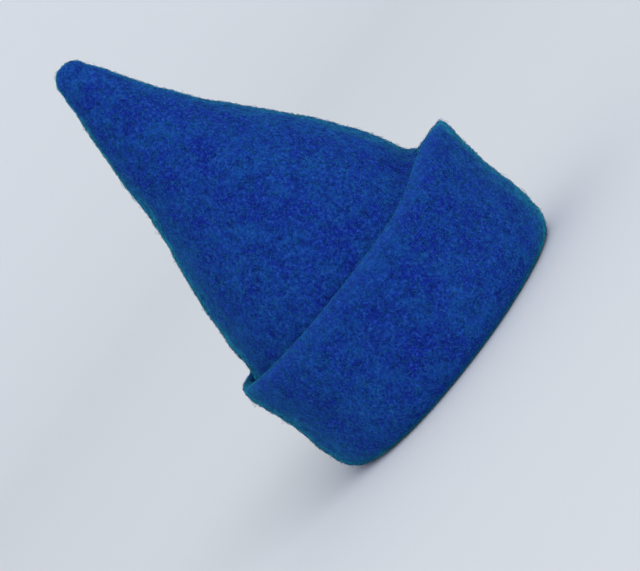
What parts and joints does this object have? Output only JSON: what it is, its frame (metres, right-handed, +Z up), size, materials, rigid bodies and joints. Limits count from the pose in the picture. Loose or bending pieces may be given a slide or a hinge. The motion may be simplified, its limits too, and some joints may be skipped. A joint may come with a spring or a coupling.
{
  "type": "wizard hat",
  "caption": "Tall pointed cap of thick fulled wool, open below for a head, with its rim turned up outside as a deep cuff whose lip stands off at the front.",
  "frame": {"origin": "middle of the hat's box, on the surface that its rim stands on", "axes": "+X to the front of the hat, +Y to the wearer's left, +Z up to the tip"},
  "size_m": [0.2546, 0.203, 0.3625],
  "materials": {
    "wool_felt": "matte, fuzzy royal-blue fulled wool knit"
  },
  "bodies": {
    "root": {"felt_cap": "wool_felt"}
  },
  "joints": []
}
